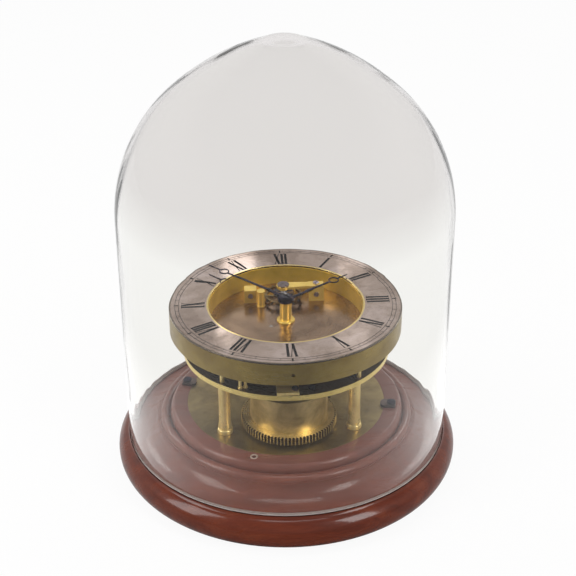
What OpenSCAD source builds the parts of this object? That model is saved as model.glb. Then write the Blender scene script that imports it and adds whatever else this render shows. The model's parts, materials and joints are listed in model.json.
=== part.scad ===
// Table clock under a glass dome: a horizontal dial over an open spring-driven movement
// Frame: origin at the centre of the base's underside, +Z up, XII on the dial towards +Y

/* [Glass dome] */
// Outer radius of the glass
dome_r = 105; // [102:0.5:112]
// Wall thickness of the glass
dome_wall = 3; // [2:0.5:4]
// Height of the straight part of the glass
dome_straight_h = 155.5; // [140:0.5:180]
// Radius of the arc that rounds the shoulder
shoulder_arc_r = 101; // [85:1:104]
// Radius of the flatter arc over the shoulder
flank_arc_r = 164; // [130:1:200]
// Radius of the small button left on the crown
crown_button_r = 13; // [8:1:18]
// Gap between the glass and each side of its groove
glass_gap = 0.5; // [0.3:0.1:0.8]

/* [Wooden base] */
// Height at which the glass stands
seat_z = 24; // [20:1:30]
// Width of the rounded rim outside the glass
rim_w = 8; // [6:0.5:14]
// Height of the stepped top over the glass seat
wood_top_h = 18.4; // [16:0.2:24]
// Width of the flat wooden ring round the base plate
wood_flat_w = 8.5; // [7:0.5:9]
// Thickness of the cloth pad under the base
pad_t = 1; // [0.5:0.5:2]
// Radius of the cloth pad
pad_r = 92; // [80:1:96]
// Radius of the key hole through the base
key_hole_r = 7; // [5.5:0.5:8]
// Radius of the hollow under the movement
hollow_r = 59.5; // [59.5:0.5:61]
// Depth of the hollow under the base plate
hollow_d = 14; // [12:1:16]

/* [Plates and pillars] */
// Radius of the base plate
base_plate_r = 65.8; // [64:0.2:68]
// Thickness of the base plate and the middle plate
plate_t = 3.5; // [3:0.25:4]
// Radius of the middle plate
mid_plate_r = 67.5; // [67:0.5:72]
// Thickness of the top plate, the floor of the dial well
top_plate_t = 2; // [1.5:0.25:3]
// Height of the lower pillars
pillar_h = 41.4; // [40:0.2:46]
// Diameter of the lower pillars
pillar_d = 7.9; // [6:0.1:9]
// Height of the upper pillars
gap_h = 12.5; // [12.5:0.1:15]
// Diameter of the upper pillars
upper_pillar_d = 3; // [2.6:0.2:4]
// Sideways distance of a pillar from the centre
pillar_x = 41.3; // [38:0.1:42]
// Front to back distance of a pillar from the centre
pillar_y = 37; // [35:0.1:38]
// Sideways distance of an upper pillar from the centre
upper_pillar_x = 42.3; // [38:0.1:43]
// Front to back distance of an upper pillar from the centre
upper_pillar_y = 48.2; // [44:0.1:49]

/* [Dial drum] */
// Outer radius of the drum
drum_r = 75; // [73:0.5:80]
// Height of the drum
drum_h = 15.4; // [14.8:0.2:18]
// Wall thickness of the drum
drum_wall = 1.6; // [1:0.2:2.5]
// Radius of the opening in the dial
dial_hole_r = 49.9; // [48:0.1:52]
// Thickness of the dial ring
dial_t = 1.2; // [1:0.1:2]
// Thickness of the wall of the dial well
well_wall = 1.2; // [0.8:0.1:2]
// Radius of the setting hole in the front of the drum
set_hole_r = 1.1; // [0.8:0.1:1.5]

/* [Barrel and winding] */
// Distance of the barrel's axis in front of the centre
barrel_y = 28; // [27.6:0.1:29]
// Outer radius of the barrel
barrel_r = 25; // [23:0.5:25.5]
// Wall thickness of the barrel
barrel_wall = 1.2; // [1:0.1:2]
// Height of the barrel wall over the great wheel
barrel_h = 22.6; // [18:0.2:23]
// Thickness of the great wheel
great_t = 5.2; // [4:0.2:6]
// Tooth module of the great wheel
great_m = 0.72; // [0.71:0.005:0.73]
// Radius of the barrel arbor
barrel_arbor_r = 3; // [2.5:0.25:3.5]
// Across flats of the winding square
winding_square = 3.6; // [3:0.2:4]

/* [Wheels] */
// Tooth module of the intermediate wheel
inter_m = 0.6; // [0.59:0.005:0.61]
// Tooth module of the centre wheel
centre_m = 0.48; // [0.47:0.005:0.49]
// Tooth module of the third wheel
third_m = 0.42; // [0.41:0.005:0.43]
// Tooth module of the fourth wheel
fourth_m = 0.36; // [0.355:0.005:0.365]
// Distance between the minute arbor and the centre
motion_d = 12; // [11.8:0.1:12.3]
// Thickness of the train wheels
wheel_t = 1.2; // [1:0.1:1.4]
// Radius of the train arbors
arbor_r = 1.5; // [1.2:0.1:1.6]
// Radius of the train pivots
pivot_r = 0.6; // [0.4:0.05:0.7]
// Running clearance between a pivot or pipe and its hole, on the radius
run_gap = 0.04; // [0.02:0.01:0.08]
// End shake left between a shoulder and its plate
end_gap = 0.15; // [0.1:0.05:0.3]

/* [Hands] */
// Length of the hour hand from its centre
hour_len = 53; // [48:0.5:55]
// Length of the minute hand from its centre
minute_len = 68; // [64:0.5:71]
// Clockwise angle of the hour hand from XII
hour_deg = 54.5; // [0:0.5:359]
// Clockwise angle of the minute hand from XII
minute_deg = 313.5; // [0:0.5:359]
// Thickness of the hands
hand_t = 0.8; // [0.5:0.1:1]
// Radius of the fixed post under the hands
post_r = 3.9; // [3.6:0.1:5]

/* [Balance] */
// Distance of the balance's axis behind the centre
balance_y = 27; // [26:0.5:28]
// Radius of the balance over its rim
balance_r = 12.6; // [11.5:0.1:13]
// Radial width of the balance rim
balance_rim_w = 1.6; // [1.2:0.1:2]
// Height of the balance rim
balance_rim_h = 1.8; // [1.4:0.1:2.2]
// Height of the balance over the floor of the dial well
balance_lift = 2.6; // [2:0.1:3]
// Sideways distance of the block that carries the balance cock
cock_block_x = 22; // [21:0.5:24]

/* [Hidden] */

brass = "darkgoldenrod";
bright_brass = "goldenrod";
steel = "slategray";
blued = "midnightblue";

// Heights of the plates and the dial, from the glass seat upwards
plate_top_z = seat_z + wood_top_h;
plate_z = plate_top_z - plate_t;
mid_z = plate_top_z + pillar_h;
mid_top_z = mid_z + plate_t;
top_z = mid_top_z + gap_h;
floor_z = top_z + top_plate_t;
dial_z = top_z + drum_h;

// Wooden base, worked out from the glass
groove_out_r = dome_r + glass_gap;
groove_in_r = dome_r - dome_wall - glass_gap;
base_r = dome_r + rim_w;
rim_half_h = (seat_z - pad_t) / 2;
rim_centre_z = pad_t + rim_half_h;
rim_centre_r = base_r - rim_half_h;
lip_h = 0.5;
wood_flat_r = base_plate_r + wood_flat_w;
ovolo_w = 3.2;
ovolo_h = 5.4;
bead_r = 3.2;
bead_centre_r = wood_flat_r + ovolo_w + bead_r;
bead_z = plate_top_z - 7.4;
cove_in_r = bead_centre_r + bead_r + 0.6;
cove_out_r = groove_in_r - 2.4;
plate_fit = 0.1;

// Dome crown: a shoulder arc, a flatter arc and a cap whose centre is on the axis
shoulder_deg = 47.6;
flank_end_deg = 71;
button_h = 0.9;

// Tooth counts and rates: the minute hand turns once an hour
great_n = 84;
inter_pinion_n = 12;
inter_n = 72;
centre_pinion_n = 12;
centre_n = 90;
third_pinion_n = 12;
third_n = 80;
fourth_pinion_n = 10;
fourth_n = 80;
escape_pinion_n = 10;
escape_n = 15;
cannon_n = 12;
minute_n = 36;
minute_pinion_n = 10;
hour_n = 40;

// Places of the arbors, each at its gearing distance from the one before
BARREL = [0, -barrel_y];
CENTRE = [0, 0];
BALANCE = [0, balance_y];
INTER = meet(BARREL, gear_d(great_m, great_n, inter_pinion_n), CENTRE, gear_d(inter_m, inter_n, centre_pinion_n), 1);
THIRD = polar(gear_d(centre_m, centre_n, third_pinion_n), 150);
fourth_bearing = 95;
FOURTH = THIRD + polar(gear_d(third_m, third_n, fourth_pinion_n), fourth_bearing);
escape_bearing = 38;
ESCAPE = FOURTH + polar(gear_d(fourth_m, fourth_n, escape_pinion_n), escape_bearing);
minute_bearing = 215;
MINUTE = polar(motion_d, minute_bearing);
minute_m = 2 * motion_d / (cannon_n + minute_n);
hour_m = 2 * motion_d / (minute_pinion_n + hour_n);

// Heights in the lower space, over the base plate
great_z = plate_top_z + 2;
barrel_z = great_z + great_t;
cover_t = 1.2;
barrel_top_z = barrel_z + barrel_h;
cock_arm_t = 1.6;
cock_arm_z = barrel_top_z + 0.8;
centre_pinion_h = 3.6;
centre_pinion_z = cock_arm_z + cock_arm_t + end_gap + 0.4;
inter_wheel_z = centre_pinion_z + 1.2;
inter_pinion_z = great_z - 0.5;
inter_pinion_h = great_t + 1;

// Heights in the upper space, over the middle plate
centre_wheel_z = mid_top_z + 0.7;
third_wheel_z = centre_wheel_z + wheel_t + 0.6;
third_pinion_z = centre_wheel_z - 0.3;
cannon_pinion_z = third_wheel_z + wheel_t + 0.3;
cannon_pinion_h = 1.8;
motion_t = 1;
minute_wheel_z = cannon_pinion_z + 0.4;
hour_wheel_z = minute_wheel_z + motion_t + 1.3;
fourth_pinion_z = third_wheel_z - 0.4;
fourth_wheel_z = third_wheel_z + wheel_t + 0.8;
escape_pinion_z = fourth_wheel_z - 0.3;
escape_wheel_z = fourth_wheel_z + wheel_t + 1.2;
escape_t = 0.6;
lever_z = escape_wheel_z;
lever_t = 0.6;

// Winding work under the base plate
ratchet_t = 2;
ratchet_z = plate_z - 0.4 - ratchet_t;
ratchet_n = 24;
ratchet_r = 9;
ratchet_root_r = 7.9;
square_end_z = plate_z - hollow_d + 1.5;
click_bearing = 40;
CLICK = BARREL + polar(17, click_bearing);
click_tip_gap = 0.15;
pivot_in = 0.2;

// Centre stack
centre_top_r = 0.9;
cannon_r = 1.7;
hour_pipe_r = cannon_r + 0.9;
post_foot_r = 6;
post_foot_h = 1.3;
hour_boss_r = 5.5;
hour_boss_h = 1.6;
hour_hand_z = dial_z + 1.1;
hand_gap = 0.5;
minute_boss_r = 4.4;
minute_hand_z = hour_hand_z + hour_boss_h + hand_gap;
minute_boss_h = 1.2;
collet_r = 3;
collet_h = 1.4;
post_top_z = hour_hand_z - 0.3;

// Balance
balance_z = floor_z + balance_lift;
staff_r = 0.9;
balance_pivot_r = 0.3;
cock_t = 1.8;
cock_z = dial_z - 4.6;
cap_r = 4;
block_w = 10;
block_d = 6.5;
roller_r = 2.6;
roller_t = 0.5;
roller_z = lever_z + lever_t + 0.35;
impulse_pin_r = 0.25;
lever_reach = 7.4;
pallet_pivot_r = 0.4;
PALLET = ESCAPE + unit(BALANCE - ESCAPE) * (norm(BALANCE - ESCAPE) - lever_reach - 2.2);
lever_deg = atan2(BALANCE[1] - ESCAPE[1], BALANCE[0] - ESCAPE[0]);
spring_in_r = 1.5;
spring_out_r = 7;
spring_turns = 9;
spring_w = 0.18;
spring_h = 0.6;
hairspring_z = balance_z + balance_rim_h + 0.9;

function polar(r, a) = [r * cos(a), r * sin(a)];
function unit(v) = v / norm(v);
function gear_d(m, n1, n2) = m * (n1 + n2) / 2;

// The point at distance ra from A and rb from B, on the given side
function meet(A, ra, B, rb, side) =
    let (d = norm(B - A), u = (B - A) / d, a = (d * d + ra * ra - rb * rb) / (2 * d), h = sqrt(ra * ra - a * a))
    A + u * a + side * h * [u[1], -u[0]];

// Angle of a driven gear's first tooth so that it meshes with a driver whose first tooth is at zero
function mesh_deg(n_driver, n_driven, bearing) = bearing + 180 + bearing * n_driver / n_driven + 180 / n_driven;

// One tooth's outline as radius and share of the pitch, from root to root
function tooth(r, up, down, half) =
    [[r - down, -half], [r, -half], [r + up, -0.3 * half], [r + up, 0.3 * half], [r, half], [r - down, half]];
function gear_points(n, m, up, down, half, first) =
    [for (i = [0:n - 1], p = tooth(n * m / 2, up * m, down * m, half)) polar(p[0], first + (i + p[1]) * 360 / n)];
function wheel_points(n, m, first = 0) = gear_points(n, m, 0.85, 1.15, 0.235, first);
function pinion_points(n, m, first = 0) = gear_points(n, m, 0.6, 1.2, 0.18, first);

// Points on an arc, for turned profiles
function arc(c, rx, ry, a0, a1, n) = [for (i = [0:n]) let (a = a0 + (a1 - a0) * i / n) c + [rx * cos(a), ry * sin(a)]];

// The crown's outline from the shoulder to the axis, drawn in by a wall, as radius and height
function crown(wall) =
    let (c0 = [dome_r - shoulder_arc_r, 0],
        c1 = c0 + polar(shoulder_arc_r - flank_arc_r, shoulder_deg),
        join = c1 + polar(flank_arc_r, flank_end_deg),
        cap_r = join[0] / cos(flank_end_deg),
        c2 = [0, join[1] - cap_r * sin(flank_end_deg)])
    concat(arc(c0, shoulder_arc_r - wall, shoulder_arc_r - wall, 0, shoulder_deg, 14),
        arc(c1, flank_arc_r - wall, flank_arc_r - wall, shoulder_deg + 3, flank_end_deg, 8),
        arc(c2, cap_r - wall, cap_r - wall, flank_end_deg + 4, 90, 5));
crown_h = crown(0)[len(crown(0)) - 1][1];

// A flat spiral ribbon as one closed outline
function spiral_points(r0, r1, turns, w, steps) =
    let (n = turns * steps, at = function (i) r0 + (r1 - r0) * i / n)
    concat([for (i = [0:n]) polar(at(i) + w / 2, 360 * i / steps)],
        [for (i = [n:-1:0]) polar(at(i) - w / 2, 360 * i / steps)]);

module at(p, z = 0) {
    translate([p[0], p[1], z]) children();
}

module disc(r, h, z = 0) {
    translate([0, 0, z]) cylinder(r = r, h = h, $fn = 96);
}

module rod(r, z0, z1) {
    translate([0, 0, z0]) cylinder(r = r, h = z1 - z0, $fn = 48);
}

// Places a child at each of the four pillars
module at_pillars() {
    for (x = [-1, 1], y = [-1, 1]) translate([x * pillar_x, y * pillar_y, 0]) children();
}

module at_upper_pillars() {
    for (x = [-1, 1], y = [-1, 1]) translate([x * upper_pillar_x, y * upper_pillar_y, 0]) children();
}

// A round head with a sawn slot, standing on z = 0
module slotted_head(r, h, turn = 0) {
    difference() {
        disc(r, h);
        rotate([0, 0, turn]) translate([-r - 1, -0.12 * r - 0.1, 0.6 * h]) cube([2 * r + 2, 0.24 * r + 0.2, h]);
    }
}

// A spoked wheel: rim with teeth, round hub and straight arms
module spoked_wheel(points, root_r, rim_w, hub_r, bore_r, arms, arm_w, t) {
    difference() {
        linear_extrude(t) polygon(points);
        translate([0, 0, -1]) linear_extrude(t + 2) difference() {
            circle(r = root_r - rim_w, $fn = 96);
            circle(r = hub_r, $fn = 48);
            for (i = [0:arms - 1]) rotate(i * 360 / arms) translate([0, -arm_w / 2]) square([root_r, arm_w]);
        }
        translate([0, 0, -1]) cylinder(r = bore_r, h = t + 2, $fn = 48);
    }
}

// A plain arbor: a body between two plates and a pivot in each, ending just inside the plate
module arbor_body(z0, z1, plate0_t, plate1_t, r, tip_r = pivot_r) {
    rod(tip_r, z0 - plate0_t + pivot_in, z0 + end_gap);
    rod(r, z0 + end_gap, z1 - end_gap);
    rod(tip_r, z1 - end_gap, z1 + plate1_t - pivot_in);
}

module pivot_hole(p, z, t, r = pivot_r) {
    at(p, z - 1) cylinder(r = r + run_gap, h = t + 2, $fn = 48);
}

module wood_base() {
    profile = concat(
        [[0, pad_t]],
        arc([rim_centre_r, rim_centre_z], rim_half_h, rim_half_h, -90, 68, 22),
        [[groove_out_r, seat_z + lip_h], [groove_out_r, seat_z], [groove_in_r, seat_z],
            [groove_in_r, seat_z + lip_h], [cove_out_r, seat_z + lip_h]],
        arc([cove_out_r, bead_z], cove_out_r - cove_in_r, bead_z - seat_z - lip_h, 270, 180, 10),
        arc([bead_centre_r, bead_z], bead_r, bead_r, 0, 180, 12),
        arc([wood_flat_r, plate_top_z - ovolo_h], ovolo_w, ovolo_h, 0, 90, 8),
        [[0, plate_top_z]]);
    color("saddlebrown") difference() {
        rotate_extrude($fn = 180) polygon(profile);
        translate([0, 0, plate_z]) cylinder(r = base_plate_r + plate_fit, h = plate_t + 1, $fn = 180);
        translate([0, 0, plate_z - hollow_d]) cylinder(r = hollow_r, h = hollow_d + 1, $fn = 96);
        at(BARREL) cylinder(r = key_hole_r, h = plate_z, $fn = 48);
        for (a = concat(dog_degs, [spare_hole_deg])) rotate([0, 0, a])
            translate([dog_screw_r, 0, plate_top_z - dog_screw_len])
                cylinder(r = dog_thread_r, h = dog_screw_len + 1, $fn = 24);
    }
}

module base_pad() {
    color("darkgreen") difference() {
        disc(pad_r, pad_t);
        at(BARREL, -1) cylinder(r = key_hole_r + 1, h = pad_t + 2, $fn = 48);
    }
}

module glass_dome() {
    shoulder_z = seat_z + dome_straight_h;
    up = [0, shoulder_z];
    outer = crown(0);
    inner = crown(dome_wall);
    outline = concat([[dome_r, seat_z]], [for (p = outer) p + up],
        [for (i = [len(inner) - 1:-1:0]) inner[i] + up], [[dome_r - dome_wall, seat_z]]);
    color("lightcyan", 0.35) union() {
        rotate_extrude($fn = 180) polygon(outline);
        translate([0, 0, shoulder_z + crown_h - dome_wall * 0.9]) rotate_extrude($fn = 96)
            polygon(concat([[0, 0]], arc([0, 0], crown_button_r, button_h + dome_wall * 0.9, 0, 90, 9)));
    }
}

// Two small plates with a screw each that clamp the movement to the wood, and a spare screw hole
dog_degs = [161, 348.5];
spare_hole_deg = 250;
dog_in_r = base_plate_r - 2.4;
dog_out_r = wood_flat_r - 0.4;
dog_w = 8;
dog_t = 1.8;
dog_screw_r = base_plate_r + 4.4;
dog_screw_len = 9;
dog_thread_r = 1.3;

module dog_shape() {
    intersection() {
        translate([dog_in_r, -dog_w / 2]) square([dog_out_r - dog_in_r, dog_w]);
        circle(r = dog_out_r, $fn = 180);
        translate([dog_in_r + dog_w * 0.62, 0]) circle(r = dog_w * 0.62, $fn = 48);
    }
    translate([dog_in_r + 3, -dog_w / 2]) square([dog_out_r - dog_in_r - 4, dog_w]);
}

module hold_down_dogs() {
    color(steel) for (a = dog_degs) rotate([0, 0, a]) translate([0, 0, plate_top_z]) difference() {
        linear_extrude(dog_t) dog_shape();
        translate([dog_screw_r, 0, -1]) cylinder(r = dog_thread_r, h = dog_t + 2, $fn = 24);
    }
}

module dog_screws() {
    color(blued) for (a = dog_degs) rotate([0, 0, a]) translate([dog_screw_r, 0, 0]) {
        rod(dog_thread_r, plate_top_z - dog_screw_len, plate_top_z + dog_t);
        translate([0, 0, plate_top_z + dog_t]) slotted_head(2.6, 1.3, a);
    }
}

screw_r = 1.4;

module base_plate() {
    color(brass) difference() {
        disc(base_plate_r, plate_t, plate_z);
        at_pillars() translate([0, 0, plate_z - 1]) cylinder(r = screw_r, h = plate_t + 2, $fn = 24);
        pivot_hole(BARREL, plate_z, plate_t, barrel_arbor_r);
        pivot_hole(INTER, plate_z, plate_t);
        at(CLICK, plate_z - 1) cylinder(r = click_screw_r, h = plate_t + 2, $fn = 24);
        at(CLICK_PIN, plate_z - 1) cylinder(r = 0.6, h = plate_t + 2, $fn = 24);
    }
}

// A turned pillar: moulded foot, slightly waisted body and a thin collar at the top
module lower_pillars() {
    r = pillar_d / 2;
    foot = r + 0.9;
    color(bright_brass) at_pillars() difference() {
        translate([0, 0, plate_top_z]) rotate_extrude($fn = 64) polygon(concat(
            [[0, 0], [foot, 0], [foot, 0.8]],
            arc([r, 1.9], foot - r, 1.1, 0, 90, 5),
            arc([r + 0.2, pillar_h / 2], -0.5, pillar_h / 2 - 5, -90, 90, 10),
            [[r, pillar_h - 1], [r + 0.4, pillar_h - 0.8], [r + 0.4, pillar_h], [0, pillar_h]]));
        translate([0, 0, plate_top_z - 1]) cylinder(r = screw_r, h = 9, $fn = 24);
        translate([0, 0, mid_z - 8]) cylinder(r = screw_r, h = 9, $fn = 24);
    }
}

// Screws into both ends of the lower pillars, through the base plate and the middle plate
module pillar_screws() {
    color(steel) at_pillars() {
        rod(screw_r, plate_z - 0.3, plate_top_z + 7);
        translate([0, 0, plate_z]) rotate([180, 0, 0]) slotted_head(2.8, 1.6, 35);
        rod(screw_r, mid_z - 7, mid_top_z);
        translate([0, 0, mid_top_z]) slotted_head(2.8, 1.6, 50);
    }
}

cock_foot = [-13, 8];
cock_foot_r = 4.5;
sunk_r = 2.6;
sunk_h = 1.2;
front_bar_w = 13.6;
front_bar_len = 13;
front_bar_t = 2;
front_bar_x = -2.6;
front_bar_y = -mid_plate_r + 0.6;
front_screw_r = 1;
FRONT_SCREWS = [[front_bar_x + 4.6, front_bar_y + 4], [12.4, -mid_plate_r + 8]];
STUDS = [polar(mid_plate_r - 2.8, 241), polar(mid_plate_r - 5, 243.3)];
stud_r = 1;

module middle_plate() {
    color(bright_brass) difference() {
        disc(mid_plate_r, plate_t, mid_z);
        at_pillars() translate([0, 0, mid_z - 1]) cylinder(r = screw_r, h = plate_t + 2, $fn = 24);
        pivot_hole(BARREL, mid_z, plate_t, barrel_arbor_r - 0.8);
        pivot_hole(INTER, mid_z, plate_t);
        pivot_hole(CENTRE, mid_z, plate_t, arbor_r);
        pivot_hole(THIRD, mid_z, plate_t);
        pivot_hole(FOURTH, mid_z, plate_t);
        pivot_hole(ESCAPE, mid_z, plate_t);
        pivot_hole(PALLET, mid_z, plate_t, pallet_pivot_r);
        pivot_hole(BALANCE, mid_z, plate_t, balance_pivot_r);
        at(cock_foot, mid_z - 1) cylinder(r = screw_r, h = plate_t + 2, $fn = 24);
        at(cock_foot, mid_top_z - sunk_h) cylinder(r1 = screw_r, r2 = sunk_r, h = sunk_h, $fn = 24);
        for (p = FRONT_SCREWS) at(p, mid_z - 1) cylinder(r = front_screw_r, h = plate_t + 2, $fn = 24);
        at_upper_pillars() translate([0, 0, mid_z - 1]) cylinder(r = upper_tail_r, h = plate_t + 2, $fn = 24);
    }
}

// The upper pillars are riveted into the middle plate near its edge
upper_tail_r = 1.1;
upper_screw_r = 0.8;

module upper_pillars() {
    color(bright_brass) at_upper_pillars() difference() {
        union() {
            rod(upper_pillar_d / 2, mid_top_z, top_z);
            rod(upper_tail_r, mid_z, mid_top_z);
        }
        rod(upper_screw_r, top_z - 6, top_z + 1);
    }
}

staff_hole_r = 3.4;

module top_plate() {
    color("peru") difference() {
        disc(drum_r - drum_wall, top_plate_t, top_z);
        at_upper_pillars() translate([0, 0, top_z - 1]) cylinder(r = upper_screw_r, h = top_plate_t + 2, $fn = 24);
        at(MINUTE, top_z - 1) cylinder(r = minute_tail_r, h = top_plate_t + 2, $fn = 24);
        pivot_hole(THIRD, top_z, top_plate_t);
        pivot_hole(FOURTH, top_z, top_plate_t);
        pivot_hole(ESCAPE, top_z, top_plate_t);
        pivot_hole(PALLET, top_z, top_plate_t, pallet_pivot_r);
        at(CENTRE, top_z - 1) cylinder(r = hour_pipe_r + 0.4, h = top_plate_t + 2, $fn = 48);
        at(BALANCE, top_z - 1) cylinder(r = staff_hole_r, h = top_plate_t + 2, $fn = 48);
        for (p = BLOCKS) at(p, top_z - 1) cylinder(r = block_screw_r, h = top_plate_t + 2, $fn = 24);
    }
}

// The screws of the well's floor reach this far into the upper pillars
upper_screw_l = 5;
upper_head_r = 1.9;
upper_head_h = 1.1;

module top_plate_screws() {
    color(steel) at_upper_pillars() {
        rod(upper_screw_r, top_z - upper_screw_l, floor_z);
        translate([0, 0, floor_z]) slotted_head(upper_head_r, upper_head_h, 70);
    }
}

module set_hole() {
    translate([0, -drum_r - 1, top_z + drum_h * 0.44]) rotate([-90, 0, 0])
        cylinder(r = set_hole_r, h = drum_wall + 2, $fn = 32);
}

// The band round the drum: the top plate is pressed into it and the dial ring lies on it
module drum_wall() {
    color(brass) difference() {
        disc(drum_r, drum_h - dial_t, top_z);
        disc(drum_r - drum_wall, drum_h + 2, top_z - 1);
        set_hole();
    }
}

module well_wall_ring() {
    inner = dial_hole_r - 0.4;
    color("gold") difference() {
        disc(inner + well_wall, dial_z - dial_t - floor_z, floor_z);
        disc(inner, drum_h, floor_z - 1);
    }
}

module dial_ring() {
    color("silver") difference() {
        disc(drum_r, dial_t, dial_z - dial_t);
        disc(dial_hole_r, dial_t + 2, dial_z - dial_t - 1);
    }
}

// A short bar screwed to the front edge of the middle plate, over the barrel
module front_bar() {
    color(bright_brass) difference() {
        intersection() {
            translate([front_bar_x - front_bar_w / 2, front_bar_y, mid_top_z])
                cube([front_bar_w, front_bar_len, front_bar_t]);
            disc(mid_plate_r - 0.2, front_bar_t, mid_top_z);
        }
        at(FRONT_SCREWS[0], mid_top_z - 1) cylinder(r = front_screw_r, h = front_bar_t + 2, $fn = 24);
    }
}

// Blued screws at the front of the middle plate: one through the bar and one beside it
module middle_plate_screws() {
    seats = [mid_top_z + front_bar_t, mid_top_z];
    color(blued) for (i = [0, 1]) at(FRONT_SCREWS[i]) {
        rod(front_screw_r, mid_z + 0.5, seats[i]);
        translate([0, 0, seats[i]]) slotted_head(2.1, 1.4, 20);
    }
}

module stay_studs() {
    color(bright_brass) for (p = STUDS) at(p) {
        rod(stud_r, mid_top_z, top_z);
        rod(stud_r + 0.6, mid_top_z, mid_top_z + 1);
    }
}

// The great wheel is a ring let on to a step at the foot of the barrel
step_r = barrel_r - 2.4;
barrel_floor_t = 1.4;

module great_wheel() {
    color(bright_brass) at(BARREL, great_z) difference() {
        linear_extrude(great_t) polygon(wheel_points(great_n, great_m));
        translate([0, 0, -1]) cylinder(r = step_r, h = great_t + 2, $fn = 96);
    }
}

module barrel() {
    color(bright_brass) at(BARREL) difference() {
        union() {
            disc(step_r, great_t, great_z);
            disc(barrel_r, barrel_h, barrel_z);
        }
        disc(step_r - barrel_wall, great_t, great_z + barrel_floor_t);
        disc(barrel_r - barrel_wall, barrel_h, barrel_z + barrel_floor_t);
        disc(barrel_r - barrel_wall / 2, cover_t + 1, barrel_top_z - cover_t);
        rod(barrel_arbor_r + run_gap, great_z - 1, barrel_top_z);
    }
}

module barrel_cover() {
    color(bright_brass) at(BARREL) difference() {
        disc(barrel_r - barrel_wall / 2, cover_t, barrel_top_z - cover_t);
        rod(barrel_arbor_r + run_gap, barrel_top_z - cover_t - 1, barrel_top_z + 1);
    }
}

spring_core_r = barrel_arbor_r + 1.4;
mainspring_z = barrel_z + barrel_floor_t + 0.6;
mainspring_top_z = barrel_top_z - cover_t - 0.8;

module mainspring() {
    ribbon = 0.45;
    color("dimgray") at(BARREL, mainspring_z) linear_extrude(mainspring_top_z - mainspring_z) polygon(
        spiral_points(spring_core_r + ribbon / 2, barrel_r - barrel_wall - 0.3, 9, ribbon, 24));
}

// The arbor has a thick core for the spring, pivots in both plates and a square for the key
module barrel_arbor() {
    s = winding_square;
    color(steel) at(BARREL) {
        rod(spring_core_r, mainspring_z - 0.4, mainspring_top_z + 0.4);
        rod(barrel_arbor_r, ratchet_z + ratchet_t, barrel_top_z + 1.2);
        rod(barrel_arbor_r - 0.8, barrel_top_z + 1.2, mid_top_z + 0.3);
        translate([-s / 2, -s / 2, square_end_z]) cube([s, s, ratchet_z + ratchet_t - square_end_z]);
    }
}

module ratchet_wheel() {
    s = winding_square;
    points = [for (i = [0:ratchet_n - 1], p = [[ratchet_root_r, 0.02], [ratchet_r, 0.9], [ratchet_r, 0.98]])
        polar(p[0], (i + p[1]) * 360 / ratchet_n)];
    color(steel) at(BARREL, ratchet_z) difference() {
        linear_extrude(ratchet_t) polygon(points);
        translate([-s / 2, -s / 2, -1]) cube([s, s, ratchet_t + 2]);
    }
}

click_screw_r = 1;
click_t = 1.8;
click_z = plate_z - 0.1 - click_t;
click_len = norm(CLICK - BARREL - polar(ratchet_r + click_tip_gap, click_bearing + 26));
click_aim = atan2(BARREL[1] + (ratchet_r + click_tip_gap) * sin(click_bearing + 26) - CLICK[1],
    BARREL[0] + (ratchet_r + click_tip_gap) * cos(click_bearing + 26) - CLICK[0]);
CLICK_PIN = CLICK + polar(9, click_bearing + 62);

module click() {
    color(steel) at(CLICK, click_z) difference() {
        rotate([0, 0, click_aim]) linear_extrude(click_t) polygon(concat(
            arc([0, 0], 2.6, 2.6, 60, 300, 14), [[click_len * 0.6, -1.3], [click_len, -0.1],
            [click_len - 0.5, 0.5], [click_len * 0.55, 1.5]]));
        translate([0, 0, -1]) cylinder(r = click_screw_r + run_gap, h = click_t + 2, $fn = 24);
    }
}

module click_screw() {
    color(blued) at(CLICK) {
        rod(click_screw_r, click_z - 0.3, plate_top_z - 0.5);
        translate([0, 0, click_z - 0.1]) rotate([180, 0, 0]) slotted_head(2, 1.1, 15);
    }
}

// A bent wire from a pin in the plate to the back of the click
module click_spring() {
    back = CLICK + polar(click_len * 0.55, click_aim) + polar(1.75, click_aim - 90);
    color(steel) {
        at(CLICK_PIN) rod(0.6, click_z + 0.3, plate_top_z - 0.5);
        hull() {
            at(CLICK_PIN) rod(0.6, click_z + 0.3, click_z + 1.3);
            at(back) rod(0.3, click_z + 0.3, click_z + 1.3);
        }
    }
}

module intermediate_arbor() {
    color(steel) at(INTER) {
        arbor_body(plate_top_z, mid_z, plate_t, plate_t, arbor_r);
        translate([0, 0, inter_pinion_z]) linear_extrude(inter_pinion_h)
            polygon(pinion_points(inter_pinion_n, great_m, mesh_deg(great_n, inter_pinion_n, bearing(BARREL, INTER))));
        rod(3, inter_wheel_z - 1.4, inter_wheel_z);
    }
}

function bearing(A, B) = atan2(B[1] - A[1], B[0] - A[0]);

module intermediate_wheel() {
    color(bright_brass) at(INTER, inter_wheel_z)
        spoked_wheel(wheel_points(inter_n, inter_m), inter_m * (inter_n / 2 - 1.15), 2.2, 4.2, arbor_r, 5, 2, wheel_t);
}

// A cock hung from the middle plate carries the short centre arbor over the barrel
module centre_cock() {
    color(brass) difference() {
        union() {
            hull() {
                at(CENTRE, cock_arm_z) cylinder(r = 3.2, h = cock_arm_t, $fn = 32);
                at(cock_foot, cock_arm_z) cylinder(r = cock_foot_r, h = cock_arm_t, $fn = 32);
            }
            at(cock_foot, cock_arm_z) cylinder(r = cock_foot_r, h = mid_z - cock_arm_z, $fn = 48);
        }
        pivot_hole(CENTRE, cock_arm_z, cock_arm_t);
        at(cock_foot, mid_z - 6) cylinder(r = screw_r, h = 7, $fn = 24);
    }
}

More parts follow.
